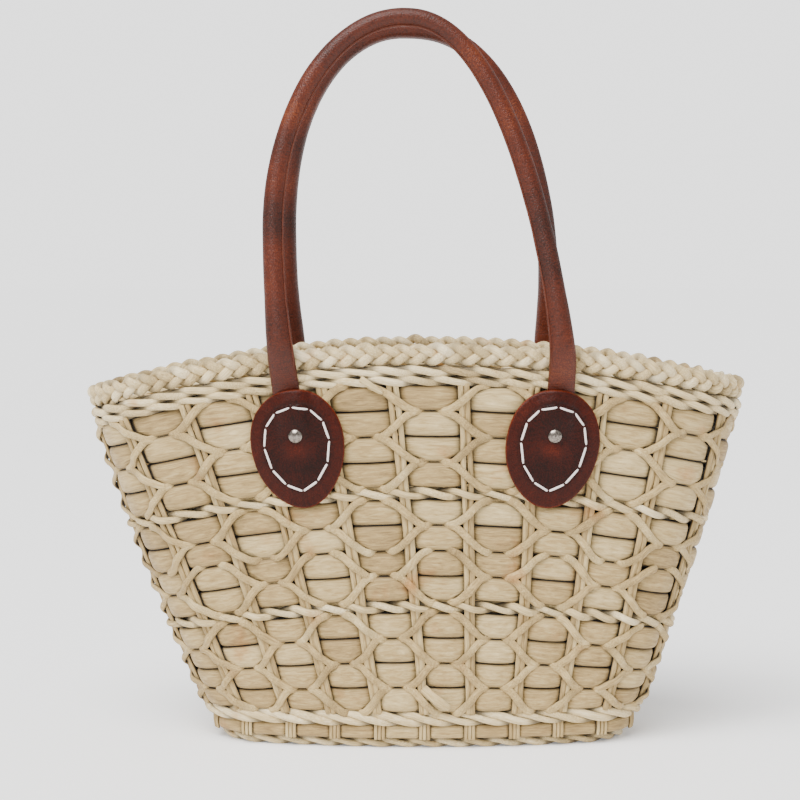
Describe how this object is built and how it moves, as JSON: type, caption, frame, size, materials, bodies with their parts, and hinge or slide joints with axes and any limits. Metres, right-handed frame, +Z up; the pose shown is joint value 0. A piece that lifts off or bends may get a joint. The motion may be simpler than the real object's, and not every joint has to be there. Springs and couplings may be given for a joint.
{
  "type": "beach bag",
  "caption": "Woven maize-husk beach bag with a flared oval basket, a braided rim and two long brown leather tube handles stitched and riveted on at egg-shaped tabs.",
  "frame": {"origin": "middle of the flat underside of the base panel, on the surface that the bag stands on", "axes": "+Z up, +X to the right of someone who faces the front, front face along -Y"},
  "size_m": [0.424, 0.1834, 0.4677],
  "materials": {
    "maize_husk": "dried maize husk, satin",
    "husk_cord": "twisted husk cord, matte",
    "tube_leather": "brown leather with a fine grain",
    "tab_leather": "dark brown leather",
    "white_thread": "waxed white thread",
    "nickel": "nickel plated",
    "cotton_cord": "soft cotton cord"
  },
  "bodies": {
    "basket": {"back_left_backing_patch": "tab_leather", "back_left_rivet": "nickel", "back_left_rivet_back_cap": "nickel", "back_left_sleeve_end": "tube_leather", "back_left_tab": "tab_leather", "back_left_tab_stitching": "white_thread", "back_right_backing_patch": "tab_leather", "back_right_rivet": "nickel", "back_right_rivet_back_cap": "nickel", "back_right_sleeve_end": "tube_leather", "back_right_tab": "tab_leather", "back_right_tab_stitching": "white_thread", "base_panel": "maize_husk", "binding_cords_lower": "husk_cord", "binding_cords_middle": "husk_cord", "binding_cords_upper": "husk_cord", "border_rope": "husk_cord", "bottom_rope": "husk_cord", "foot_husk": "maize_husk", "front_left_backing_patch": "tab_leather", "front_left_rivet": "nickel", "front_left_rivet_back_cap": "nickel", "front_left_sleeve_end": "tube_leather", "front_left_tab": "tab_leather", "front_left_tab_stitching": "white_thread", "front_right_backing_patch": "tab_leather", "front_right_rivet": "nickel", "front_right_rivet_back_cap": "nickel", "front_right_sleeve_end": "tube_leather", "front_right_tab": "tab_leather", "front_right_tab_stitching": "white_thread", "husk_row_01": "maize_husk", "husk_row_02": "maize_husk", "husk_row_03": "maize_husk", "husk_row_04": "maize_husk", "husk_row_05": "maize_husk", "husk_row_06": "maize_husk", "husk_row_07": "maize_husk", "husk_row_08": "maize_husk", "husk_row_09": "maize_husk", "husk_row_10": "maize_husk", "husk_row_11": "maize_husk", "husk_row_12": "maize_husk", "lower_twined_rope": "husk_cord", "outer_stakes": "husk_cord", "rim_braid": "husk_cord", "rim_rope_lower": "husk_cord", "rim_rope_upper": "husk_cord", "upper_twined_rope": "husk_cord"},
    "front_handle": {"front_handle_core": "cotton_cord", "front_handle_sleeve": "tube_leather"},
    "back_handle": {"back_handle_core": "cotton_cord", "back_handle_sleeve": "tube_leather"}
  },
  "joints": [
    {"name": "front_handle_swing", "type": "hinge", "parent": "basket", "child": "front_handle", "pos_m": [0, -0.09183, 0.256], "axis": [1, 0, 0], "range_deg": [-5, 190]},
    {"name": "back_handle_swing", "type": "hinge", "parent": "basket", "child": "back_handle", "pos_m": [0, 0.09183, 0.256], "axis": [-1, 0, 0], "range_deg": [-5, 190]}
  ]
}
